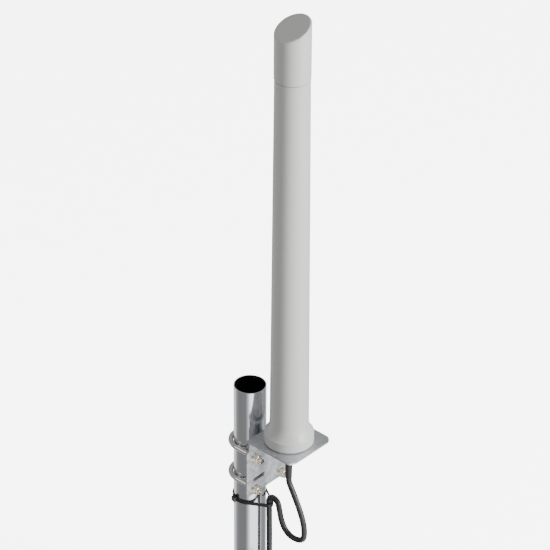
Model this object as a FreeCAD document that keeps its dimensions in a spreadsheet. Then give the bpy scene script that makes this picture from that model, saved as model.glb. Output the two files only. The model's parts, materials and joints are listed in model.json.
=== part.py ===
import FreeCAD, Part
import math
import os

# Omnidirectional antenna: a tapered radome on an angle bracket, clamped by two U-bolts
# to the top of a 50 mm mast, with a coaxial cable tied down the mast.
# Frame: origin at the centre of the mast's foot, +Z up, +X from the mast to the radome.

SIZES = {
    # mast
    "mast_radius": 25, "mast_wall": 1.5, "mast_length": 503,
    # angle bracket: square top plate and a rear flange bent down beside the mast
    "plate_level": 440, "radome_offset": 80, "sheet_thickness": 3, "flange_face": 36.5,
    "plate_half": 46, "flange_drop": 107, "plate_corner_radius": 12, "bend_radius": 4,
    "relief_width": 6, "relief_height": 20, "tie_slot_length": 27, "tie_slot_width": 7,
    "tie_slot_drop": 81.5, "tie_slot_side": 18.5, "jack_hole_radius": 8.4,
    # U-bolt clamps
    "rod_radius": 4, "leg_side": 29.3, "leg_reach": 53, "leg_hole_radius": 4.5,
    "upper_drop": 39, "lower_drop": 98, "nut_bore_radius": 4.05, "nut_across": 13,
    "nut_height": 6.5, "nut_crown_radius": 6.3, "nut_crown_slope": 1.7, "washer_radius": 8,
    "washer_height": 1.5, "spring_washer_radius": 6.4,
    "spring_washer_height": 2, "spring_washer_split": 0.9, "saddle_half_width": 25, "saddle_half_height": 9,
    "saddle_back_gap": 0.05, "saddle_front": 13, "saddle_clearance": 25.3, "saddle_angle": 30,
    # radome, measured up from the plate
    "gasket_height": 2, "rim_radius": 37.5, "rim_top": 16, "flare_top": 38,
    "tube_foot_radius": 29.5, "tube_top_radius": 25.9, "tube_top": 622, "tube_wall": 2.4,
    "flare_curve": 32.7, "bore_foot_radius": 27.3,
    # cap with its slanted top
    "seal_height": 1.2, "cap_radius": 26.5, "cap_wall": 2.4, "cap_height": 703,
    "cap_slant": 25, "cap_azimuth": 80, "cap_edge_radius": 2.5, "spigot_radius": 23.2,
    "spigot_wall": 1.8, "spigot_depth": 18, "spigot_rise": 6,
    # base plug, its O-ring and the screws from below
    "plug_radius": 26.9, "plug_height": 12, "o_ring_section": 1.2, "o_ring_circle": 25.9,
    "screw_circle": 32.5, "screw_radius": 2, "screw_depth": 10, "screw_hole_radius": 2.3,
    "screw_head_radius": 3.5, "screw_head_height": 2.6, "screw_washer_radius": 4.5,
    "screw_washer_height": 0.8, "screw_socket_across": 2.5, "screw_socket_depth": 1.4,
    # coaxial jack through the plate
    "jack_radius": 7.95, "jack_below": 24, "jack_flange_radius": 11, "jack_flange_height": 3,
    "jack_tail": 6, "jack_nut_across": 20, "jack_nut_height": 3.5, "jack_washer_height": 1.2,
    "jack_socket_radius": 6.6, "jack_socket_depth": 11, "insulator_radius": 4,
    "jack_contact_radius": 1.5,
    # cable plug, measured from the cable end of its boot
    "plug_drop": 70, "boot_length": 28, "boot_radius": 5.6, "boot_mouth_radius": 5.1,
    "plug_body_radius": 6.4,
    "plug_body_length": 18, "plug_nose_radius": 5.6, "plug_nose_length": 13,
    "plug_nose_bore": 4.2, "plug_insulator_length": 6, "plug_contact_radius": 0.8,
    "plug_contact_length": 9, "coupling_start": 40, "coupling_length": 19,
    "coupling_radius": 10, "coupling_bore": 8.3, "coupling_collar": 3, "collar_bore": 6.75,
    "knurl_depth": 0.5, "knurl_count": 24,
    # cable, coil and ties
    "cable_radius": 4.6, "downlead_x": 40.2, "coil_level": 100, "coil_radius": 45,
    "coil_turns": 4, "tail_end": 66, "cable_tie_level": 296, "cable_tie_gap": 0.4,
    "tie_band": 1.6, "tie_width": 5.5, "tie_head_angle": -105, "tie_head_depth": 5,
    "tie_head_length": 8, "tie_head_margin": 1.2, "coil_tie_slack": 2.2,
    "coil_band_width": 5, "coil_band_gap": 0.3,
    # radiator inside the radome
    "board_width": 20, "board_thickness": 1.6, "board_foot": 45, "board_top": 600,
    "element_thickness": 0.2, "element_width": 12, "element_length": 52, "element_pitch": 108,
    "element_count": 5, "spacer_height": 10, "spacer_pitch": 180, "spacer_count": 3,
    "spacer_gap": 0.4, "feed_radius": 1.8, "holder_radius": 13, "holder_height": 18,
}

doc = FreeCAD.newDocument("Antenna")
sheet = doc.addObject("Spreadsheet::Sheet", "Sizes")
for row, (alias, value) in enumerate(SIZES.items(), start=1):
    sheet.set("A%d" % row, alias)
    sheet.set("B%d" % row, str(value))
    sheet.setAlias("B%d" % row, alias)
doc.recompute()

nodes = []
X_TURN = FreeCAD.Rotation(FreeCAD.Vector(0, 1, 0), 90)
UPRIGHT = FreeCAD.Rotation()
PLATE = "Sizes.plate_level"
RADOME_X = "Sizes.radome_offset"
ORIGIN_LINE = ("0", "0", "0", 1)
RADOME_LINE = (RADOME_X, "0", PLATE, 1)


def size(alias):
    """The number held in one cell of the sheet."""
    return float(sheet.get(alias))


def bind(obj, expressions):
    """Tie properties of an object to expressions of the sheet."""
    for name, expression in expressions.items():
        obj.setExpression(name, expression)
    return obj


def place(obj, x, y, z, rotation=UPRIGHT):
    """Turn an object and bind its base point to the sheet."""
    obj.Placement = FreeCAD.Placement(FreeCAD.Vector(0, 0, 0), rotation)
    return bind(obj, {"Placement.Base.x": x, "Placement.Base.y": y, "Placement.Base.z": z})


def node(obj, label):
    """Register a finished sub-part under the name of its file."""
    obj.Label = label
    nodes.append(obj)
    return obj


def cylinder(name, radius, height, x="0", y="0", z="0", rotation=UPRIGHT):
    obj = bind(doc.addObject("Part::Cylinder", name), {"Radius": radius, "Height": height})
    return place(obj, x, y, z, rotation)


def cone(name, radius_low, radius_high, height, x, y, z, rotation=UPRIGHT):
    obj = bind(doc.addObject("Part::Cone", name),
               {"Radius1": radius_low, "Radius2": radius_high, "Height": height})
    return place(obj, x, y, z, rotation)


def torus(name, circle, section, x, y, z, rotation=UPRIGHT):
    obj = bind(doc.addObject("Part::Torus", name), {"Radius1": circle, "Radius2": section})
    return place(obj, x, y, z, rotation)


def box(name, length, width, height, x, y, z, rotation=UPRIGHT):
    obj = bind(doc.addObject("Part::Box", name),
               {"Length": length, "Width": width, "Height": height})
    return place(obj, x, y, z, rotation)


def hexagon(name, across, height, x, y, z, rotation=UPRIGHT):
    obj = doc.addObject("Part::Prism", name)
    obj.Polygon = 6
    bind(obj, {"Circumradius": "(%s) / sqrt(3)" % across, "Height": height})
    return place(obj, x, y, z, rotation)


def cut(name, base, tool):
    obj = doc.addObject("Part::Cut", name)
    obj.Base = base
    obj.Tool = tool
    return obj


def fuse(name, shapes):
    obj = doc.addObject("Part::MultiFuse", name)
    obj.Shapes = shapes
    return obj


def common(name, shapes):
    obj = doc.addObject("Part::MultiCommon", name)
    obj.Shapes = shapes
    return obj


def group(name, solids):
    """Several separate solids held as one sub-part."""
    obj = doc.addObject("Part::Compound", name)
    obj.Links = solids
    return obj


def rounded(name, base, radius, chosen):
    """Round the edges of a base that the test picks out."""
    doc.recompute()
    obj = doc.addObject("Part::Fillet", name)
    obj.Base = base
    edges = enumerate(base.Shape.Edges, start=1)
    obj.Edges = [(index, radius, radius) for index, edge in edges if chosen(edge)]
    return obj


def feature(name, shape, placement=None):
    """A sub-part whose shape is made by Part's own functions."""
    obj = doc.addObject("Part::Feature", name)
    obj.Shape = shape
    if placement:
        obj.Placement = placement
    return obj


def along(line, station):
    """The height of a station on a vertical line that runs up or down."""
    sign = "+" if line[3] > 0 else "-"
    return "%s %s (%s)" % (line[2], sign, station)


def line_turn(line):
    """The rotation of a piece on a vertical line that runs up or down."""
    return UPRIGHT if line[3] > 0 else FreeCAD.Rotation(FreeCAD.Vector(1, 0, 0), 180)


def rod(name, line, start, length, radius):
    """A cylinder on a vertical line, which may run up or down."""
    return cylinder(name, radius, length, line[0], line[1], along(line, start), line_turn(line))


def ring(name, line, start, length, outer, inner):
    """A rod with a bore right through it."""
    body = rod(name + "_outer", line, start, length, outer)
    bore = rod(name + "_bore", line, "%s - 1" % start, "%s + 2" % length, inner)
    return cut(name, body, bore)


# ---------------------------------------------------------------- mast and bracket

def make_mast():
    bore = "Sizes.mast_radius - Sizes.mast_wall"
    node(ring("mast_tube", ORIGIN_LINE, "0", "Sizes.mast_length", "Sizes.mast_radius", bore), "mast")


def is_upright_edge_at(edge, x, tolerance=0.01):
    low = edge.BoundBox
    return low.ZLength > 1 and abs(low.XMin - x) < tolerance and abs(low.XMax - x) < tolerance


def is_bend_edge(edge, x, z):
    bound = edge.BoundBox
    return bound.YLength > 1 and abs(bound.XMin - x) < 0.01 and abs(bound.ZMin - z) < 0.01 \
        and abs(bound.XMax - x) < 0.01


def make_bracket():
    thick = "Sizes.sheet_thickness"
    half = "Sizes.plate_half"
    rear = "Sizes.flange_face - Sizes.sheet_thickness"
    reach = "Sizes.radome_offset + Sizes.plate_half - Sizes.flange_face + Sizes.sheet_thickness"
    plate = box("bracket_plate", reach, "2 * " + half, thick,
                rear, "-" + half, PLATE + " - " + thick)
    flange = box("bracket_flange", thick, "2 * " + half, "Sizes.flange_drop",
                 rear, "-" + half, PLATE + " - Sizes.flange_drop")
    angle = fuse("bracket_angle", [plate, flange])
    angle.Refine = True
    front = size("radome_offset") + size("plate_half")
    cornered = rounded("bracket_corners", angle, size("plate_corner_radius"),
                       lambda edge: is_upright_edge_at(edge, front))
    back = size("flange_face") - size("sheet_thickness")
    bent = rounded("bracket_bend", cornered, size("bend_radius"),
                   lambda edge: is_bend_edge(edge, back, size("plate_level")))
    node(cut("bracket_cut", bent, fuse("bracket_openings", bracket_openings())), "bracket")


def bracket_openings():
    """Holes for the jack, the base screws and the clamp legs, a tie slot and bend reliefs."""
    tools = [cylinder("jack_hole", "Sizes.jack_hole_radius", "10", RADOME_X, "0", PLATE + " - 6")]
    for index in range(4):
        x, y = screw_place(index)
        tools.append(cylinder("screw_hole", "Sizes.screw_hole_radius", "10", x, y, PLATE + " - 6"))
    for drop in ("Sizes.upper_drop", "Sizes.lower_drop"):
        for side in ("-", ""):
            tools.append(cylinder("leg_hole", "Sizes.leg_hole_radius", "10", "Sizes.flange_face - 6",
                                  side + "Sizes.leg_side", PLATE + " - " + drop, X_TURN))
    tools += slot_tools()
    for y in ("-Sizes.plate_half - 1", "Sizes.plate_half - Sizes.relief_width"):
        tools.append(box("bend_relief", "Sizes.sheet_thickness + 2", "Sizes.relief_width + 1",
                         "Sizes.relief_height", "Sizes.flange_face - Sizes.sheet_thickness - 1", y,
                         PLATE + " - Sizes.bend_radius - Sizes.relief_height"))
    return tools


def slot_tools():
    """A round-ended slot through the flange for a cable tie."""
    width = "Sizes.tie_slot_width"
    span = "(Sizes.tie_slot_length - Sizes.tie_slot_width)"
    level = PLATE + " - Sizes.tie_slot_drop"
    middle = box("slot_middle", "10", span, width, "Sizes.flange_face - 6",
                 "-Sizes.tie_slot_side - %s / 2" % span, level + " - %s / 2" % width)
    ends = [cylinder("slot_end", width + " / 2", "10", "Sizes.flange_face - 6",
                     "-Sizes.tie_slot_side %s %s / 2" % (sign, span), level, X_TURN)
            for sign in "+-"]
    return [middle] + ends


# ---------------------------------------------------------------- U-bolt clamps

def make_clamps():
    fasteners = {"nut": [], "washer": [], "spring": []}
    for name in ("upper", "lower"):
        level = "%s - Sizes.%s_drop" % (PLATE, name)
        make_u_bolt(name, level)
        make_saddle(name, level)
        for side in ("-", ""):
            clamp_fasteners(fasteners, side + "Sizes.leg_side", level)
    node(group("clamp_nuts", fasteners["nut"]), "u_bolt_nuts")
    node(group("clamp_washers", fasteners["washer"]), "u_bolt_washers")
    node(group("clamp_springs", fasteners["spring"]), "u_bolt_spring_washers")


def make_u_bolt(name, level):
    bend = torus("u_bend_" + name, "Sizes.leg_side", "Sizes.rod_radius", "0", "0", level)
    bend.Angle3 = 180
    bend.Placement.Rotation = FreeCAD.Rotation(FreeCAD.Vector(0, 0, 1), 90)
    legs = [cylinder("u_leg_" + name, "Sizes.rod_radius", "Sizes.leg_reach", "0",
                     side + "Sizes.leg_side", level, X_TURN) for side in ("-", "")]
    node(fuse("u_rod_" + name, [bend] + legs), "u_bolt_" + name)


def make_saddle(name, level):
    """A block between the mast and the flange, with a shallow vee that faces the mast."""
    block = box("saddle_block_" + name,
                "Sizes.flange_face - Sizes.sheet_thickness - Sizes.saddle_back_gap - Sizes.saddle_front",
                "2 * Sizes.saddle_half_width", "2 * Sizes.saddle_half_height",
                "Sizes.saddle_front", "-Sizes.saddle_half_width", level + " - Sizes.saddle_half_height")
    walls = []
    for sign in (1, -1):
        turn = FreeCAD.Rotation(FreeCAD.Vector(0, 0, 1), sign * size("saddle_angle"))
        wall = box("vee_wall_" + name, "80", "160", "60", "0", "0", level + " - 30", turn)
        reach = "(Sizes.saddle_clearance - 80)"
        angle = "%d deg * Sizes.saddle_angle" % sign
        bind(wall, {"Placement.Base.x": "%s * cos(%s) + 80 * sin(%s)" % (reach, angle, angle),
                    "Placement.Base.y": "%s * sin(%s) - 80 * cos(%s)" % (reach, angle, angle)})
        walls.append(wall)
    node(cut("saddle_vee_" + name, block, common("vee_" + name, walls)), "saddle_" + name)


def clamp_fasteners(fasteners, y, level):
    """Flat washer, spring washer and hexagon nut on one leg, stacked out from the flange."""
    x = "Sizes.flange_face"
    washer = cylinder("washer_body", "Sizes.washer_radius", "Sizes.washer_height", x, y, level, X_TURN)
    fasteners["washer"].append(leg_ring(washer, "Sizes.washer_height", x, y, level,
                                        "Sizes.leg_hole_radius"))
    x += " + Sizes.washer_height"
    spring = cylinder("spring_body", "Sizes.spring_washer_radius", "Sizes.spring_washer_height",
                      x, y, level, X_TURN)
    split = box("spring_split", "Sizes.spring_washer_height + 2", "Sizes.spring_washer_split",
                "Sizes.spring_washer_radius + 1", x + " - 1", y, level)
    fasteners["spring"].append(leg_ring(cut("spring_open", spring, split), "Sizes.spring_washer_height",
                                        x, y, level, "Sizes.leg_hole_radius"))
    x += " + Sizes.spring_washer_height"
    fasteners["nut"].append(leg_ring(clamp_nut(x, y, level), "Sizes.nut_height", x, y, level,
                                     "Sizes.nut_bore_radius"))


def clamp_nut(x, y, z):
    """A hexagon with its outer corners turned off to a cone."""
    prism = hexagon("nut_prism", "Sizes.nut_across", "Sizes.nut_height", x, y, z, X_TURN)
    crown = cone("nut_crown", "Sizes.nut_crown_radius + Sizes.nut_crown_slope * Sizes.nut_height",
                 "Sizes.nut_crown_radius", "Sizes.nut_height", x, y, z, X_TURN)
    return common("nut_body", [prism, crown])


def leg_ring(body, height, x, y, z, bore):
    """A body on a clamp leg, bored through."""
    hole = cylinder("leg_bore", bore, height + " + 2", x + " - 1", y, z, X_TURN)
    return cut("leg_ring", body, hole)


# ---------------------------------------------------------------- radome

def make_radome_tube():
    """A rim, a concave flare and a tapered tube, all on one axis and bored to a taper."""
    rise = "Sizes.rim_top - Sizes.gasket_height"
    rim = rod("rim", RADOME_LINE, "Sizes.gasket_height", rise, "Sizes.rim_radius")
    skirt = rod("flare_stock", RADOME_LINE, "Sizes.rim_top",
                "Sizes.flare_top - Sizes.rim_top", "Sizes.rim_radius")
    hollow = torus("flare_hollow", "Sizes.tube_foot_radius + Sizes.flare_curve", "Sizes.flare_curve",
                   RADOME_X, "0", PLATE + " + Sizes.flare_top")
    taper = cone("tube_taper", "Sizes.tube_foot_radius", "Sizes.tube_top_radius",
                 "Sizes.tube_top - Sizes.flare_top", RADOME_X, "0", PLATE + " + Sizes.flare_top")
    outside = fuse("radome_outside", [rim, cut("flare", skirt, hollow), taper])
    bore = cone("radome_bore", "Sizes.bore_foot_radius", "Sizes.tube_top_radius - Sizes.tube_wall",
                "Sizes.tube_top - Sizes.gasket_height", RADOME_X, "0", PLATE + " + Sizes.gasket_height")
    tools = [bore]
    for index in range(4):
        x, y = screw_place(index)
        tools.append(cylinder("rim_hole", "Sizes.screw_radius + 0.05", "Sizes.screw_depth + 1",
                              x, y, PLATE))
    node(cut("radome_shell", outside, fuse("radome_inside", tools)), "radome_tube")


def slant_tool(name, lowered):
    """A large box above the cap's slanted plane."""
    turn = FreeCAD.Rotation(FreeCAD.Vector(0, 0, 1), size("cap_azimuth")).multiply(
        FreeCAD.Rotation(FreeCAD.Vector(0, 1, 0), -size("cap_slant")))
    corner = turn.multVec(FreeCAD.Vector(-100, -100, 0))
    tool = box(name, "200", "200", "100", "0", "0", "0", turn)
    bind(tool, {"Placement.Base.x": "%s + %f" % (RADOME_X, corner.x),
                "Placement.Base.y": "%f" % corner.y,
                "Placement.Base.z": "%s + Sizes.cap_height - (%s) + %f" % (PLATE, lowered, corner.z)})
    return tool


def make_cap():
    start = "Sizes.tube_top + Sizes.seal_height"
    tall = "Sizes.cap_height - Sizes.tube_top + 30"
    stock = rod("cap_stock", RADOME_LINE, start, tall, "Sizes.cap_radius")
    slanted = cut("cap_slanted", stock, slant_tool("cap_slant_tool", "0"))
    foot = size("plate_level") + size("tube_top") + size("seal_height")
    outside = rounded("cap_outside", slanted, size("cap_edge_radius"),
                      lambda edge: edge.BoundBox.ZMin > foot + 1 and edge.BoundBox.XLength > 20)
    spigot = rod("cap_spigot", RADOME_LINE, start + " - Sizes.spigot_depth",
                 "Sizes.spigot_depth + 1", "Sizes.spigot_radius")
    solid = fuse("cap_solid", [outside, spigot])
    cavity = rod("cap_cavity", RADOME_LINE, start + " + Sizes.spigot_rise", tall,
                 "Sizes.cap_radius - Sizes.cap_wall")
    cavity_top = cut("cap_ceiling", cavity, slant_tool("cap_ceiling_tool", "Sizes.cap_wall * 1.1"))
    neck = rod("cap_neck", RADOME_LINE, start + " - Sizes.spigot_depth - 1",
               "Sizes.spigot_depth + Sizes.spigot_rise + 2", "Sizes.spigot_radius - Sizes.spigot_wall")
    node(cut("cap_shell", solid, fuse("cap_inside", [cavity_top, neck])), "radome_cap")
    node(ring("seal", RADOME_LINE, "Sizes.tube_top", "Sizes.seal_height",
              "Sizes.tube_top_radius - 0.2", "Sizes.spigot_radius + 0.1"), "cap_seal")


def screw_place(index):
    """The X and Y of one of the four base screws, on the plate's diagonals."""
    sides = ((1, 1), (-1, 1), (-1, -1), (1, -1))[index]
    reach = "Sizes.screw_circle / sqrt(2)"
    return "%s + %d * %s" % (RADOME_X, sides[0], reach), "%d * %s" % (sides[1], reach)


def make_base():
    """Gasket, base plug with its O-ring, and the screws with washers under the plate."""
    gasket = ring("gasket", RADOME_LINE, "0", "Sizes.gasket_height", "Sizes.rim_radius - 0.5",
                  "Sizes.jack_hole_radius")
    holes = []
    for index in range(4):
        x, y = screw_place(index)
        holes.append(cylinder("gasket_hole", "Sizes.screw_hole_radius", "Sizes.gasket_height + 2",
                              x, y, PLATE + " - 1"))
    node(cut("gasket_holed", gasket, fuse("gasket_holes", holes)), "base_gasket")
    plug = ring("plug_disc", RADOME_LINE, "Sizes.gasket_height", "Sizes.plug_height",
                "Sizes.plug_radius", "Sizes.jack_radius + 0.05")
    middle = PLATE + " + Sizes.gasket_height + Sizes.plug_height / 2"
    groove = torus("plug_groove", "Sizes.o_ring_circle", "Sizes.o_ring_section + 0.05",
                   RADOME_X, "0", middle)
    node(cut("plug_grooved", plug, groove), "base_plug")
    node(torus("o_ring", "Sizes.o_ring_circle", "Sizes.o_ring_section", RADOME_X, "0", middle),
         "base_o_ring")
    make_base_screws()


def make_base_screws():
    screws = []
    washers = []
    under = "(Sizes.plate_level - Sizes.sheet_thickness)"
    for index in range(4):
        x, y = screw_place(index)
        line = (x, y, under, -1)
        shank = "Sizes.screw_washer_height"
        head = rod("screw_head", line, shank, "Sizes.screw_head_height", "Sizes.screw_head_radius")
        stem = cylinder("screw_stem", "Sizes.screw_radius",
                        "Sizes.sheet_thickness + Sizes.screw_washer_height + Sizes.screw_depth",
                        x, y, under + " - Sizes.screw_washer_height")
        socket = hexagon("screw_socket", "Sizes.screw_socket_across", "Sizes.screw_socket_depth", x, y,
                         under + " - Sizes.screw_washer_height - Sizes.screw_head_height")
        screws.append(cut("screw", fuse("screw_solid", [head, stem]), socket))
        washers.append(ring("screw_washer", line, "0", "Sizes.screw_washer_height",
                            "Sizes.screw_washer_radius", "Sizes.screw_hole_radius"))
    node(group("screws", screws), "base_screws")
    node(group("washers", washers), "base_screw_washers")


# ---------------------------------------------------------------- jack and cable plugs

def make_jack():
    """A bulkhead jack through the base plug and the plate, with its lock nut below."""
    top = "(Sizes.gasket_height + Sizes.plug_height)"
    barrel = rod("jack_barrel", RADOME_LINE, "-Sizes.jack_below",
                 top + " + Sizes.jack_below + Sizes.jack_flange_height + Sizes.jack_tail",
                 "Sizes.jack_radius")
    flange = rod("jack_flange", RADOME_LINE, top, "Sizes.jack_flange_height",
                 "Sizes.jack_flange_radius")
    socket = rod("jack_socket", RADOME_LINE, "-Sizes.jack_below - 1",
                 "Sizes.jack_socket_depth + 1", "Sizes.jack_socket_radius")
    core = rod("jack_core", RADOME_LINE, "-Sizes.jack_below - 1",
               top + " + Sizes.jack_below + Sizes.jack_flange_height + Sizes.jack_tail + 2",
               "Sizes.insulator_radius")
    node(cut("jack_body", fuse("jack_solid", [barrel, flange]), fuse("jack_hollow", [socket, core])),
         "coax_jack")
    start = "-Sizes.jack_below + Sizes.jack_socket_depth"
    length = top + " + Sizes.jack_below - Sizes.jack_socket_depth + Sizes.jack_flange_height"
    node(ring("jack_dielectric", RADOME_LINE, start, length, "Sizes.insulator_radius",
              "Sizes.jack_contact_radius"), "jack_insulator")
    node(ring("jack_pin", RADOME_LINE, start + " - 6", length + " + 8", "Sizes.jack_contact_radius",
              "Sizes.plug_contact_radius + 0.05"), "jack_contact")
    under = "(%s - Sizes.sheet_thickness)" % PLATE
    below = (RADOME_X, "0", under, -1)
    node(ring("jack_washer", below, "0", "Sizes.jack_washer_height", "Sizes.jack_nut_across / 2",
              "Sizes.jack_radius + 0.1"), "jack_lock_washer")
    nut = hexagon("jack_nut_body", "Sizes.jack_nut_across", "Sizes.jack_nut_height", RADOME_X, "0",
                  under + " - Sizes.jack_washer_height - Sizes.jack_nut_height")
    bore = rod("jack_nut_bore", below, "0", "Sizes.jack_nut_height + 4", "Sizes.jack_radius + 0.05")
    node(cut("jack_nut_cut", nut, bore), "jack_nut")


def make_plug(prefix, line):
    """Boot, body, insulator, centre contact and coupling nut, out from the cable along a line."""
    boot = "Sizes.boot_length"
    node(cone(prefix + "_sleeve", "Sizes.boot_mouth_radius", "Sizes.boot_radius", boot,
              line[0], line[1], line[2], line_turn(line)), prefix + "_boot")
    body = rod(prefix + "_barrel", line, boot, "Sizes.plug_body_length", "Sizes.plug_body_radius")
    nose = rod(prefix + "_nose", line, boot + " + Sizes.plug_body_length - 1",
               "Sizes.plug_nose_length - 2", "Sizes.plug_nose_radius")
    hollow = rod(prefix + "_hollow", line, boot + " + Sizes.plug_body_length - Sizes.plug_insulator_length",
                 "40", "Sizes.plug_nose_bore")
    node(cut(prefix + "_shell", fuse(prefix + "_solid", [body, nose]), hollow), prefix + "_plug_body")
    seat = boot + " + Sizes.plug_body_length - Sizes.plug_insulator_length"
    node(ring(prefix + "_dielectric", line, seat, "Sizes.plug_insulator_length",
              "Sizes.plug_nose_bore", "Sizes.plug_contact_radius"), prefix + "_plug_insulator")
    node(rod(prefix + "_contact", line, seat, "Sizes.plug_insulator_length + Sizes.plug_contact_length",
             "Sizes.plug_contact_radius"), prefix + "_plug_contact")
    make_coupling(prefix, line)


def make_coupling(prefix, line):
    """A knurled nut that turns on the plug body, with a collar at its cable end."""
    start = "Sizes.coupling_start"
    outside = rod(prefix + "_nut_stock", line, start, "Sizes.coupling_length", "Sizes.coupling_radius")
    wide = rod(prefix + "_nut_bore", line, start + " + Sizes.coupling_collar",
               "Sizes.coupling_length", "Sizes.coupling_bore")
    narrow = rod(prefix + "_nut_neck", line, start + " - 1", "Sizes.coupling_length",
                 "Sizes.collar_bore")
    tools = [wide, narrow]
    count = int(size("knurl_count"))
    for index in range(count):
        angle = "360 deg / Sizes.knurl_count * %d" % index
        reach = "(Sizes.coupling_radius + 0.35)"
        flute = ("%s + %s * cos(%s)" % (line[0], reach, angle),
                 "%s + %s * sin(%s)" % (line[1], reach, angle), line[2], line[3])
        tools.append(rod(prefix + "_flute", flute, start + " + 3", "Sizes.coupling_length - 5",
                         "Sizes.knurl_depth + 0.25"))
    node(cut(prefix + "_nut", outside, fuse(prefix + "_nut_tools", tools)), prefix + "_coupling_nut")


# ---------------------------------------------------------------- cable, coil and ties

def cable_route():
    """From the boot under the plate, out in a hanging loop, up to the mast and down beside it."""
    x = size("downlead_x")
    top = size("plate_level")
    hanging = [
        (80, 0, size("plug_drop")), (80, 0, 78), (85.6, 0.4, 89), (94, 1, 106), (102.5, 1.5, 124),
        (109.3, 1.8, 143), (112.2, 1.5, 161), (110.5, 1.2, 174), (101, 0.7, 180.5),
        (86.5, 0.2, 181.5), (74.5, -0.4, 174.5), (67, -1, 160.5), (63.8, -1.4, 145),
        (60.4, -1.2, 130), (53.8, -0.7, 125), (45.6, -0.3, 125.6), (40.1, 0, 131.6), (x, 0, 142),
        (x + 0.2, 0.2, 162), (x + 0.5, 0.3, 199), (x + 0.6, 0.4, 244), (x + 0.4, 0.2, 292),
    ]
    points = [(along_x, across, top - drop) for along_x, across, drop in hanging]
    return points + [(x, 0, size("coil_level"))]


def fillet_radius(before, point, after):
    """The largest arc that two runs allow at the point between them."""
    run_in = point - before
    run_out = after - point
    turn = run_in.getAngle(run_out)
    return 0.45 * min(run_in.Length, run_out.Length) / math.tan(turn / 2), turn


def path_wire(route):
    """Straight runs joined by tangent arcs."""
    points = [FreeCAD.Vector(*place_xyz) for place_xyz in route]
    edges = []
    at = points[0]
    for before, point, after in zip(points, points[1:], points[2:]):
        radius, turn = fillet_radius(before, point, after)
        print("cable arc radius %.1f mm, turn %.0f degrees" % (radius, math.degrees(turn)))
        reach = radius * math.tan(turn / 2)
        start = point + (before - point).normalize() * reach
        end = point + (after - point).normalize() * reach
        inward = ((start + end) / 2 - point).normalize()
        middle = point + inward * (radius / math.cos(turn / 2) - radius)
        edges.append(Part.LineSegment(at, start).toShape())
        edges.append(Part.Arc(start, middle, end).toShape())
        at = end
    edges.append(Part.LineSegment(at, points[-1]).toShape())
    return Part.Wire(edges)


def tube_along(wire, radius):
    """A round solid swept along a wire, with its volume compared with section times length."""
    edge = wire.OrderedEdges[0]
    start = edge.valueAt(edge.FirstParameter)
    section = Part.Wire(Part.Circle(start, edge.tangentAt(edge.FirstParameter), radius).toShape())
    solid = wire.makePipeShell([section], True, False)
    expected = math.pi * radius ** 2 * wire.Length
    print("cable run %.1f mm, volume ratio %.4f" % (wire.Length, solid.Volume / expected))
    return solid


def coil_depth():
    """The coil's outer width along its own axis."""
    return 2 * size("cable_radius") * (size("coil_turns") + 1)


def coil_placement():
    """The coil's near face, beside the downlead, with its axis pointing out from the mast."""
    near = size("downlead_x") - size("cable_radius")
    centre = FreeCAD.Vector(near, -size("coil_radius"), size("coil_level"))
    return FreeCAD.Placement(centre, X_TURN)


def tail_x():
    """The distance of the last turn from the mast's axis."""
    return size("downlead_x") + 2 * size("cable_radius") * size("coil_turns")


def make_cable():
    radius = size("cable_radius")
    node(feature("cable_sweep", tube_along(path_wire(cable_route()), radius)), "cable")
    outer = size("coil_radius") + radius
    inner = size("coil_radius") - radius
    depth = coil_depth()
    coil = Part.makeCylinder(outer, depth).cut(Part.makeCylinder(inner, depth))
    node(feature("coil_ring", coil, coil_placement()), "cable_coil")
    tail = Part.makeCylinder(radius, size("coil_level") - size("tail_end"))
    end = FreeCAD.Vector(tail_x(), 0, size("tail_end"))
    node(feature("tail_run", tail, FreeCAD.Placement(end, UPRIGHT)), "cable_tail")


def hull_face(big, small, distance):
    """The outline that a tight band takes round a large circle and a small one beside it."""
    lean = math.acos((big - small) / distance)
    across = FreeCAD.Vector(math.cos(lean), math.sin(lean), 0)
    mirror = FreeCAD.Vector(across.x, -across.y, 0)
    small_centre = FreeCAD.Vector(distance, 0, 0)
    big_up = across * big
    big_down = mirror * big
    small_up = small_centre + across * small
    small_down = small_centre + mirror * small
    edges = [Part.LineSegment(big_up, small_up).toShape(),
             Part.Arc(small_up, FreeCAD.Vector(distance + small, 0, 0), small_down).toShape(),
             Part.LineSegment(small_down, big_down).toShape(),
             Part.Arc(big_down, FreeCAD.Vector(-big, 0, 0), big_up).toShape()]
    return Part.Face(Part.Wire(edges))


def band(big, small, distance):
    """A closed tie round the mast and a smaller piece, with its square head on the mast's side."""
    thick = size("tie_band")
    width = size("tie_width")
    margin = size("tie_head_margin")
    height = FreeCAD.Vector(0, 0, width)
    inside = hull_face(big, small, distance).extrude(height)
    loop = hull_face(big + thick, small + thick, distance).extrude(height).cut(inside)
    length = size("tie_head_length")
    head = Part.makeBox(size("tie_head_depth"), length, width + 2 * margin)
    head.translate(FreeCAD.Vector(big + thick / 2, -length / 2, -margin))
    head.rotate(FreeCAD.Vector(0, 0, 0), FreeCAD.Vector(0, 0, 1), size("tie_head_angle"))
    solid = loop.fuse(head).removeSplitter()
    solid.translate(FreeCAD.Vector(0, 0, -width / 2))
    return solid


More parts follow.
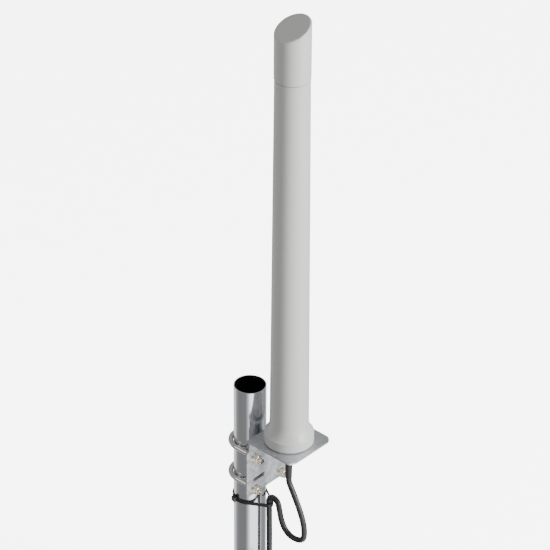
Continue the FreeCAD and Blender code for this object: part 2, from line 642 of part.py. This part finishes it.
def make_ties():
    gap = size("cable_tie_gap")
    tie = band(size("mast_radius") + gap, size("cable_radius") + gap, size("downlead_x"))
    at = FreeCAD.Vector(0, 0, size("cable_tie_level"))
    node(feature("tie_loop", tie, FreeCAD.Placement(at, UPRIGHT)), "cable_tie")
    corner = size("cable_radius") + size("coil_tie_slack")
    coil_tie = band(size("mast_radius") + gap, corner, tail_x())
    at = FreeCAD.Vector(0, 0, size("coil_level"))
    node(feature("coil_tie_loop", coil_tie, FreeCAD.Placement(at, UPRIGHT)), "coil_mast_tie")
    node(feature("coil_bands", coil_bands(), coil_placement()), "coil_ties")


def coil_bands():
    """Three flat bands round the coil's section: at its top, its bottom and its far side."""
    gap = size("coil_band_gap")
    thick = size("tie_band")
    width = size("coil_band_width")
    deep = coil_depth() + 2 * gap
    high = 2 * size("cable_radius") + 2 * gap + 1
    outer = Part.makeBox(high + 2 * thick, width, deep + 2 * thick,
                         FreeCAD.Vector(-high / 2 - thick, -width / 2, -gap - thick))
    inner = Part.makeBox(high, width, deep, FreeCAD.Vector(-high / 2, -width / 2, -gap))
    loop = outer.cut(inner)
    loop.translate(FreeCAD.Vector(size("coil_radius"), 0, 0))
    loops = []
    for angle in (0, 180, 270):
        copy = loop.copy()
        copy.rotate(FreeCAD.Vector(0, 0, 0), FreeCAD.Vector(0, 0, 1), angle)
        loops.append(copy)
    return Part.Compound(loops)


# ---------------------------------------------------------------- radiator

def make_radiator():
    """A printed board up the radome's axis, its strips, foam spacers, holder and feed."""
    board_x = RADOME_X + " + Sizes.feed_radius + 0.3"
    node(box("board", "Sizes.board_thickness", "Sizes.board_width",
             "Sizes.board_top - Sizes.board_foot", board_x, "-Sizes.board_width / 2",
             PLATE + " + Sizes.board_foot"), "radiator_board")
    strips = []
    for index in range(int(size("element_count"))):
        rise = PLATE + " + Sizes.board_foot + 20 + %d * Sizes.element_pitch" % index
        strips.append(box("strip", "Sizes.element_thickness", "Sizes.element_width",
                          "Sizes.element_length", board_x + " + Sizes.board_thickness",
                          "-Sizes.element_width / 2", rise))
    node(group("strips", strips), "radiator_elements")
    make_spacers(board_x)
    top = "Sizes.gasket_height + Sizes.plug_height + Sizes.jack_flange_height + Sizes.jack_tail"
    holder = ring("holder_block", RADOME_LINE, top, "Sizes.holder_height + 20",
                  "Sizes.holder_radius", "Sizes.feed_radius + 0.3")
    slot = box("holder_slot", "Sizes.board_thickness + 0.2", "Sizes.board_width + 0.2", "40",
               board_x + " - 0.1", "-Sizes.board_width / 2 - 0.1", PLATE + " + Sizes.board_foot - 0.1")
    node(cut("holder_slotted", holder, slot), "board_holder")
    node(rod("feed", RADOME_LINE, top + " + 0.2", "Sizes.board_top - 40 - (%s)" % top,
             "Sizes.feed_radius"), "feed_coax")


def make_spacers(board_x):
    """Foam discs between the board and the tapering wall."""
    discs = []
    for index in range(int(size("spacer_count"))):
        rise = "Sizes.board_foot + 95 + %d * Sizes.spacer_pitch" % index
        slope = "(Sizes.bore_foot_radius - Sizes.tube_top_radius + Sizes.tube_wall)"
        radius = "Sizes.bore_foot_radius - Sizes.spacer_gap - %s * (%s + Sizes.spacer_height) " \
                 "/ Sizes.tube_top" % (slope, rise)
        disc = ring("spacer_disc", RADOME_LINE, rise, "Sizes.spacer_height", radius,
                    "Sizes.feed_radius + 0.2")
        slot = box("spacer_slot", "Sizes.board_thickness + 0.8", "Sizes.board_width + 0.4",
                   "Sizes.spacer_height + 2", board_x + " - 0.2", "-Sizes.board_width / 2 - 0.2",
                   "%s + %s - 1" % (PLATE, rise))
        discs.append(cut("spacer", disc, slot))
    node(group("spacers", discs), "board_spacers")


# ---------------------------------------------------------------- build, check and export

def check_document():
    """Stop if any object failed, or if any sub-part has no valid shape."""
    doc.recompute()
    for obj in doc.Objects:
        if "Invalid" in obj.State or "Error" in obj.State:
            raise RuntimeError("%s is %s" % (obj.Label, obj.State))
    for obj in nodes:
        if obj.Shape.isNull() or not obj.Shape.isValid():
            raise RuntimeError("%s has no valid shape" % obj.Label)


def export_nodes():
    os.makedirs("parts", exist_ok=True)
    for obj in nodes:
        obj.Shape.exportStep("parts/%s.step" % obj.Label)
        print("%-24s %2d solids %12.1f mm3" % (obj.Label, len(obj.Shape.Solids), obj.Shape.Volume))


make_mast()
make_bracket()
make_clamps()
make_radome_tube()
make_cap()
make_base()
make_jack()
make_plug("near", (RADOME_X, "0", "(Sizes.plate_level - Sizes.plug_drop)", 1))
make_plug("far", ("(Sizes.downlead_x + 2 * Sizes.cable_radius * Sizes.coil_turns)", "0",
                  "Sizes.tail_end", -1))
make_cable()
make_ties()
make_radiator()
check_document()
export_nodes()
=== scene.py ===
import json
import math

import bpy
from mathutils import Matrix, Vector


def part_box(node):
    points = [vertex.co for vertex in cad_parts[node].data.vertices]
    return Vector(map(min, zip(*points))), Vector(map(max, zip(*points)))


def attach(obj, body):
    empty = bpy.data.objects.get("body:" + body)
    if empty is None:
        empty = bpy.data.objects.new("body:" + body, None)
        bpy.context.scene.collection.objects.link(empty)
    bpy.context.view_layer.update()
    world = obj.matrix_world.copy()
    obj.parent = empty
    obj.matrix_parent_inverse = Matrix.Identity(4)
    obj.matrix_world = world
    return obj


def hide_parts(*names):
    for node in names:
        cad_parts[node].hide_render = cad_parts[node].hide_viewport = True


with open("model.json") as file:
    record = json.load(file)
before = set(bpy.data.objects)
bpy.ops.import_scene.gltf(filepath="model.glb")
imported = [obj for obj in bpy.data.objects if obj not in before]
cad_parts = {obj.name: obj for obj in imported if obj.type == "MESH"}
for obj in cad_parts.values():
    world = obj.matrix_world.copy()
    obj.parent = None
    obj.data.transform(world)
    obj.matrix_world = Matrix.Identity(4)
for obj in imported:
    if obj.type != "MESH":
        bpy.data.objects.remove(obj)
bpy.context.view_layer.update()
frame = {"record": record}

# An omnidirectional antenna on a mast bracket. Lengths are in metres unless a name ends in _MM.


def span(node):
    """The lowest and highest corners of a node, as vectors."""
    low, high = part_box(node)
    return Vector(low), Vector(high)


PLATE_TOP = span("bracket")[1].z
TAIL_LOW = span("cable_tail")[0]


# ---------------------------------------------------------------- camera

CAMERA_AZIMUTH = math.radians(42.45)
CAMERA_ELEVATION = math.radians(33.3)
CAMERA_DISTANCE = 4.5
CAMERA_TARGET = Vector((0.045, 0.0015, 0.719))
CAMERA_LENS_MM = 202.2
CAMERA_SENSOR_MM = 36.0
CAMERA_SHIFT_X = 0.0028
CAMERA_ROLL = math.radians(0.336)
CAMERA_CLIP_END = 500.0


def heading(azimuth, elevation=0.0):
    """The direction that a view from this azimuth and elevation looks in."""
    level = math.cos(elevation)
    return Vector((-math.sin(azimuth) * level, math.cos(azimuth) * level, -math.sin(elevation)))


def aim(obj, target):
    obj.rotation_euler = (target - obj.location).to_track_quat("-Z", "Y").to_euler()


def make_camera():
    data = bpy.data.cameras.new("view_camera")
    data.sensor_width = CAMERA_SENSOR_MM
    data.lens = CAMERA_LENS_MM
    data.shift_x = CAMERA_SHIFT_X
    data.clip_end = CAMERA_CLIP_END
    camera = bpy.data.objects.new("view_camera", data)
    bpy.context.scene.collection.objects.link(camera)
    camera.location = CAMERA_TARGET - CAMERA_DISTANCE * heading(CAMERA_AZIMUTH, CAMERA_ELEVATION)
    aim(camera, CAMERA_TARGET)
    camera.rotation_euler.rotate_axis("Z", CAMERA_ROLL)
    bpy.context.scene.camera = camera


make_camera()


# ---------------------------------------------------------------- the coaxial cable

CABLE_DIAMETER = 0.0092
DOWNLEAD_X = 0.0402
COIL_LEVEL = 0.100
COIL_RADIUS = 0.045
COIL_TURNS = 4
COIL_LEAD_IN = 0.018
COIL_LEAD_OUT = 0.012
COIL_WOBBLE = 0.0006
POINTS_PER_TURN = 16
# The curve runs a little inside its control points, so those stand further out by this share.
CURVE_SHARE = 0.986

OUTWARD = Vector((1.0, 0.0, 0.0))
BACKWARD = Vector((0.0, 1.0, 0.0))
DOWN = Vector((0.0, 0.0, -1.0))


def cable_route():
    """The hanging bend, the downlead beside the mast, the coil's turns and the tail.

    The listed points give x, y and the drop below the plate's top.
    """
    x = DOWNLEAD_X
    hanging = [
        (0.080, 0.0, 0.070), (0.080, 0.0, 0.078), (0.0856, 0.0004, 0.089), (0.094, 0.001, 0.106),
        (0.1025, 0.0015, 0.124), (0.1093, 0.0018, 0.143), (0.1122, 0.0015, 0.161),
        (0.1105, 0.0012, 0.174), (0.101, 0.0007, 0.1805), (0.0865, 0.0002, 0.1815),
        (0.0745, -0.0004, 0.1745), (0.067, -0.001, 0.1605), (0.0638, -0.0014, 0.145),
        (0.0604, -0.0012, 0.130), (0.0538, -0.0007, 0.125), (0.0456, -0.0003, 0.1256),
        (0.0401, 0.0, 0.1316), (x, 0.0, 0.142), (x + 0.0002, 0.0002, 0.162),
        (x + 0.0005, 0.0003, 0.199), (x + 0.0006, 0.0004, 0.244), (x + 0.0004, 0.0002, 0.292),
        (x, 0.0, PLATE_TOP - COIL_LEVEL - COIL_LEAD_IN),
    ]
    points = [Vector((along_x, across, PLATE_TOP - drop)) for along_x, across, drop in hanging]
    beside = OUTWARD * x
    points += coil_turns(beside)
    tail = beside + OUTWARD * CABLE_DIAMETER * COIL_TURNS
    points.append(Vector((tail.x, tail.y, COIL_LEVEL - COIL_LEAD_OUT)))
    points.append(Vector((tail.x, tail.y, TAIL_LOW.z)))
    return points


def coil_turns(beside):
    """Control points of a neat coil whose turns lie a diameter apart."""
    centre = beside - BACKWARD * COIL_RADIUS + Vector((0.0, 0.0, COIL_LEVEL))
    radius = COIL_RADIUS / CURVE_SHARE
    points = []
    for index in range(1, COIL_TURNS * POINTS_PER_TURN):
        turn = index / POINTS_PER_TURN
        angle = turn * 2 * math.pi
        wobble = COIL_WOBBLE * math.sin(angle * 1.37 + 0.8)
        arm = BACKWARD * math.cos(angle) + DOWN * math.sin(angle)
        points.append(centre + arm * (radius + wobble) + OUTWARD * turn * CABLE_DIAMETER)
    return points


def nurbs_curve(name, points, radius):
    """A round cord along the points; each point carries the radius, so that the curve's box is tight."""
    data = bpy.data.curves.new(name, "CURVE")
    data.dimensions = "3D"
    data.resolution_u = 12
    data.bevel_depth = 1.0
    data.bevel_resolution = 5
    spline = data.splines.new("NURBS")
    spline.points.add(len(points) - 1)
    for target, point in zip(spline.points, points):
        target.co = (point.x, point.y, point.z, 1.0)
        target.radius = radius
    spline.order_u = 3
    spline.use_endpoint_u = True
    obj = bpy.data.objects.new(name, data)
    bpy.context.scene.collection.objects.link(obj)
    return obj


cable = nurbs_curve("coax_cable", cable_route(), CABLE_DIAMETER / 2)
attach(cable, "antenna")
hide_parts("cable", "cable_coil", "cable_tail")


# ---------------------------------------------------------------- material helpers

class Nodes:
    """A short way to write a procedural material."""

    def __init__(self, name, base, roughness, metallic=0.0):
        self.material = bpy.data.materials.new(name)
        self.material.use_nodes = True
        self.tree = self.material.node_tree
        self.shader = self.tree.nodes["Principled BSDF"]
        self.base = base
        self.roughness = roughness
        self.shader.inputs["Base Color"].default_value = (*base, 1.0)
        self.shader.inputs["Roughness"].default_value = roughness
        self.shader.inputs["Metallic"].default_value = metallic
        self.place = self.add("ShaderNodeTexCoord").outputs["Object"]

    def add(self, kind, **settings):
        made = self.tree.nodes.new(kind)
        for name, value in settings.items():
            setattr(made, name, value)
        return made

    def link(self, source, target):
        self.tree.links.new(source, target)

    def stretched(self, scale):
        """Object coordinates, scaled by axis."""
        mapping = self.add("ShaderNodeMapping")
        mapping.inputs["Scale"].default_value = scale
        self.link(self.place, mapping.inputs["Vector"])
        return mapping.outputs["Vector"]

    def noise(self, scale, detail=3.0, stretch=(1, 1, 1)):
        made = self.add("ShaderNodeTexNoise")
        made.inputs["Scale"].default_value = scale
        made.inputs["Detail"].default_value = detail
        self.link(self.stretched(stretch), made.inputs["Vector"])
        return made.outputs["Fac"]

    def ranged(self, source, low, high, start=0.3, end=0.7):
        made = self.add("ShaderNodeMapRange")
        made.inputs["From Min"].default_value = start
        made.inputs["From Max"].default_value = end
        made.inputs["To Min"].default_value = low
        made.inputs["To Max"].default_value = high
        self.link(source, made.inputs["Value"])
        return made.outputs["Result"]

    def vary_roughness(self, source, spread):
        low = max(self.roughness - spread, 0.02)
        self.link(self.ranged(source, low, self.roughness + spread), self.shader.inputs["Roughness"])

    def vary_colour(self, source, other, start=0.3, end=0.7):
        mix = self.add("ShaderNodeMix", data_type="RGBA")
        colours = [socket for socket in mix.inputs if socket.type == "RGBA"]
        colours[0].default_value = (*self.base, 1.0)
        colours[1].default_value = (*other, 1.0)
        self.link(self.ranged(source, 0.0, 1.0, start, end), mix.inputs[0])
        result = [socket for socket in mix.outputs if socket.type == "RGBA"][0]
        self.link(result, self.shader.inputs["Base Color"])

    def bump(self, source, distance, strength=1.0):
        made = self.add("ShaderNodeBump")
        made.inputs["Distance"].default_value = distance
        made.inputs["Strength"].default_value = strength
        self.link(source, made.inputs["Height"])
        self.link(made.outputs["Normal"], self.shader.inputs["Normal"])

    def set(self, **values):
        for name, value in values.items():
            self.shader.inputs[name.replace("_", " ")].default_value = value


def shade(tint, value):
    return tuple(channel * value for channel in tint)


def moulded_plastic(name, base, roughness, grain=900, depth=0.00002):
    """Moulded plastic: a fine grain, slow changes of gloss and a faint change of tone."""
    made = Nodes(name, base, roughness)
    made.vary_roughness(made.noise(14, 4), 0.06)
    made.vary_colour(made.noise(9, 3), shade(base, 0.95))
    made.bump(made.noise(grain, 2), depth, 0.5)
    return made.material


def radome_plastic(name, base):
    """Weatherproof moulding with faint draw lines along its length."""
    made = Nodes(name, base, 0.42)
    made.vary_roughness(made.noise(30, 4, (1, 1, 0.15)), 0.07)
    made.vary_colour(made.noise(16, 4, (1, 1, 0.1)), shade(base, 0.955))
    made.bump(made.noise(1200, 2, (1, 1, 0.3)), 0.00002, 0.35)
    made.set(Coat_Weight=0.12, Coat_Roughness=0.3)
    return made.material


def drawn_tube(name, base):
    """Bright drawn tube: fine scratches along its length and patches of duller plating."""
    made = Nodes(name, base, 0.13, metallic=1.0)
    made.vary_roughness(made.noise(40, 5, (1, 1, 0.06)), 0.07)
    made.vary_colour(made.noise(60, 5, (1, 1, 0.05)), shade(base, 0.88))
    made.bump(made.noise(700, 3, (1, 1, 0.01)), 0.00002, 0.25)
    return made.material


def plated_sheet(name, base):
    """Galvanised sheet: soft spangle in tone and gloss, with fine rolling marks."""
    made = Nodes(name, base, 0.40, metallic=0.85)
    made.vary_roughness(made.noise(120, 5), 0.10)
    made.vary_colour(made.noise(160, 6), shade(base, 0.86), 0.38, 0.66)
    made.bump(made.noise(1500, 3, (1, 0.05, 1)), 0.00002, 0.4)
    return made.material


def turned_metal(name, base, roughness):
    """Small turned or pressed metal parts."""
    made = Nodes(name, base, roughness, metallic=1.0)
    made.vary_roughness(made.noise(400, 4), 0.08)
    made.vary_colour(made.noise(260, 4), shade(base, 0.85))
    made.bump(made.noise(2600, 2), 0.00001, 0.3)
    return made.material


def cable_jacket(name, base):
    """Extruded black jacket with a slightly dusty, uneven gloss."""
    made = Nodes(name, base, 0.42)
    made.vary_roughness(made.noise(120, 4), 0.10)
    made.vary_colour(made.noise(60, 4), shade(base, 1.7))
    made.bump(made.noise(1500, 2), 0.00003, 0.4)
    return made.material


def foam(name, base):
    """Closed-cell foam with small open cells on its cut faces."""
    made = Nodes(name, base, 0.85)
    cells = made.add("ShaderNodeTexVoronoi")
    cells.inputs["Scale"].default_value = 900
    made.link(made.stretched((1, 1, 1)), cells.inputs["Vector"])
    made.bump(cells.outputs["Distance"], 0.0004, 0.7)
    made.vary_colour(made.noise(50, 3), shade(base, 0.92))
    return made.material


def laminate(name, base):
    """Glass-cloth laminate under its solder mask: a fine weave below a glossy coat."""
    made = Nodes(name, base, 0.30)
    weave = made.add("ShaderNodeTexWave", wave_type="BANDS", bands_direction="DIAGONAL")
    weave.inputs["Scale"].default_value = 900
    made.link(made.stretched((1, 1, 1)), weave.inputs["Vector"])
    made.bump(weave.outputs["Fac"], 0.00003, 0.4)
    made.vary_colour(made.noise(40, 3), shade(base, 0.8))
    return made.material


MATERIALS = {
    "mast_metal": drawn_tube("mast_metal", (0.78, 0.80, 0.83)),
    "bracket_metal": plated_sheet("bracket_metal", (0.66, 0.685, 0.71)),
    "saddle_metal": plated_sheet("saddle_metal", (0.55, 0.56, 0.57)),
    "rod_metal": turned_metal("rod_metal", (0.80, 0.79, 0.76), 0.20),
    "nut_metal": turned_metal("nut_metal", (0.80, 0.68, 0.52), 0.26),
    "radome_plastic": radome_plastic("radome_plastic", (0.66, 0.66, 0.645)),
    "cap_plastic": radome_plastic("cap_plastic", (0.66, 0.66, 0.645)),
    "seal_rubber": moulded_plastic("seal_rubber", (0.22, 0.22, 0.22), 0.62),
    "inner_plastic": moulded_plastic("inner_plastic", (0.05, 0.05, 0.055), 0.45),
    "connector_metal": turned_metal("connector_metal", (0.76, 0.74, 0.69), 0.24),
    "insulator_plastic": moulded_plastic("insulator_plastic", (0.84, 0.84, 0.81), 0.5),
    "contact_brass": turned_metal("contact_brass", (0.86, 0.64, 0.28), 0.28),
    "cable_jacket": cable_jacket("cable_jacket", (0.012, 0.012, 0.013)),
    "tie_plastic": moulded_plastic("tie_plastic", (0.012, 0.012, 0.013), 0.38),
    "board_laminate": laminate("board_laminate", (0.03, 0.13, 0.05)),
    "foam": foam("foam", (0.86, 0.86, 0.83)),
    "boot_rubber": moulded_plastic("boot_rubber", (0.014, 0.014, 0.015), 0.55),
}


def dress(obj, slot):
    obj.data.materials.clear()
    obj.data.materials.append(MATERIALS[slot])


def dress_nodes():
    """Give every node of the frame the material of its slot."""
    for entry in frame["record"]["subparts"]:
        obj = bpy.data.objects.get(entry["node"])
        if len(obj.material_slots) == 0:
            obj.data.materials.append(MATERIALS[entry["material_slot"]])
        for slot in obj.material_slots:
            slot.material = MATERIALS[entry["material_slot"]]


dress_nodes()
dress(cable, "cable_jacket")


# ---------------------------------------------------------------- studio

FLOOR_SIZE = 400.0
FLOOR_DROP = 0.0005
FLOOR_GLOW = 6.0
WORLD_STRENGTH = 0.38
LIGHT_TARGET = Vector((0.05, 0.0, 0.66))
# Name, bearing from the camera's own (to its right), elevation, distance, size and power.
LIGHTS = [
    ("key_light", 62, 10, 3.0, (1.0, 2.2), 178),
    ("fill_light", -75, 25, 4.0, (1.2, 2.0), 14),
    ("top_light", 60, 80, 4.5, (4.0, 4.0), 8),
]


def make_floor():
    """A white floor that only the camera sees, so that it throws no light up at the part."""
    mesh = bpy.data.meshes.new("studio_floor")
    half = FLOOR_SIZE / 2
    corners = [(-half, -half, 0), (half, -half, 0), (half, half, 0), (-half, half, 0)]
    mesh.from_pydata(corners, [], [(0, 1, 2, 3)])
    floor = bpy.data.objects.new("studio_floor", mesh)
    bpy.context.scene.collection.objects.link(floor)
    floor.location.z = -FLOOR_DROP
    floor.visible_diffuse = False
    floor.visible_glossy = False
    made = Nodes("studio_floor", (0.92, 0.92, 0.92), 0.9)
    made.set(Emission_Color=(1.0, 1.0, 1.0, 1.0), Emission_Strength=FLOOR_GLOW)
    mesh.materials.append(made.material)


def soft_light(name, azimuth, elevation, distance, size, power):
    """A soft rectangular lamp; its azimuth is counted from the camera's own, to the right."""
    data = bpy.data.lights.new(name, "AREA")
    data.shape = "RECTANGLE"
    data.size = size[0]
    data.size_y = size[1]
    data.energy = power
    lamp = bpy.data.objects.new(name, data)
    bpy.context.scene.collection.objects.link(lamp)
    toward = -heading(CAMERA_AZIMUTH + math.radians(azimuth), math.radians(elevation))
    lamp.location = LIGHT_TARGET + toward * distance
    aim(lamp, LIGHT_TARGET)


REFLECTOR_RADIUS = 3.0
REFLECTOR_LIFT = 0.0005
REFLECTOR_TINT = 1.01
# Brightness of the reflector by its bearing from the camera, in degrees to the camera's right.
REFLECTOR_BANDS = [
    (-180, 1.2), (-122, 1.15), (-104, 0.38), (-80, 0.27), (-26, 0.27), (-10, 0.9), (6, 2.6),
    (64, 2.4), (74, 0.9), (86, 0.42), (126, 0.32), (148, 0.9), (180, 1.2),
]
REFLECTOR_STRENGTH = 3.0


def reflector_material():
    """Light whose brightness follows the bearing round the card's middle."""
    material = bpy.data.materials.new("studio_reflector")
    material.use_nodes = True
    tree = material.node_tree
    tree.nodes.remove(tree.nodes["Principled BSDF"])
    place = tree.nodes.new("ShaderNodeTexCoord")
    parts = tree.nodes.new("ShaderNodeSeparateXYZ")
    bearing = tree.nodes.new("ShaderNodeMath")
    bearing.operation = "ARCTAN2"
    turn = tree.nodes.new("ShaderNodeMapRange")
    turn.inputs["From Min"].default_value = -math.pi
    turn.inputs["From Max"].default_value = math.pi
    ramp = tree.nodes.new("ShaderNodeValToRGB")
    light = tree.nodes.new("ShaderNodeEmission")
    light.inputs["Strength"].default_value = REFLECTOR_STRENGTH
    tree.links.new(place.outputs["Object"], parts.inputs[0])
    tree.links.new(parts.outputs["Y"], bearing.inputs[0])
    tree.links.new(parts.outputs["X"], bearing.inputs[1])
    tree.links.new(bearing.outputs[0], turn.inputs["Value"])
    tree.links.new(turn.outputs[0], ramp.inputs["Fac"])
    tree.links.new(ramp.outputs["Color"], light.inputs["Color"])
    tree.links.new(light.outputs[0], tree.nodes["Material Output"].inputs["Surface"])
    fill_ramp(ramp.color_ramp.elements)
    return material


def fill_ramp(stops):
    """Set the bands as stops of a colour ramp, which starts with two stops of its own."""
    for index, (angle, value) in enumerate(REFLECTOR_BANDS):
        at = (angle + 180) / 360
        if index < len(stops):
            stops[index].position = at
        else:
            stops.new(at)
        grey = value / REFLECTOR_STRENGTH
        stops[index].color = (grey, grey, grey * REFLECTOR_TINT, 1.0)


def make_reflector():
    """A banded card under the object that only mirror-like surfaces see, as studio flags are."""
    mesh = bpy.data.meshes.new("studio_reflector")
    bearings = [math.radians(degrees) for degrees in range(0, 360, 10)]
    rim = [(math.cos(bearing) * REFLECTOR_RADIUS, math.sin(bearing) * REFLECTOR_RADIUS, 0)
           for bearing in bearings]
    mesh.from_pydata(rim, [], [tuple(range(len(rim)))])
    card = bpy.data.objects.new("studio_reflector", mesh)
    bpy.context.scene.collection.objects.link(card)
    card.location.z = REFLECTOR_LIFT
    card.rotation_euler.z = CAMERA_AZIMUTH - math.pi / 2
    for kind in ("camera", "diffuse", "shadow", "transmission", "volume_scatter"):
        setattr(card, "visible_" + kind, False)
    mesh.materials.append(reflector_material())


def make_world():
    world = bpy.data.worlds.new("studio")
    world.use_nodes = True
    background = world.node_tree.nodes["Background"]
    background.inputs["Color"].default_value = (1.0, 1.0, 1.0, 1.0)
    background.inputs["Strength"].default_value = WORLD_STRENGTH
    bpy.context.scene.world = world


make_floor()
make_reflector()
make_world()
for settings in LIGHTS:
    soft_light(*settings)

bpy.context.view_layer.update()
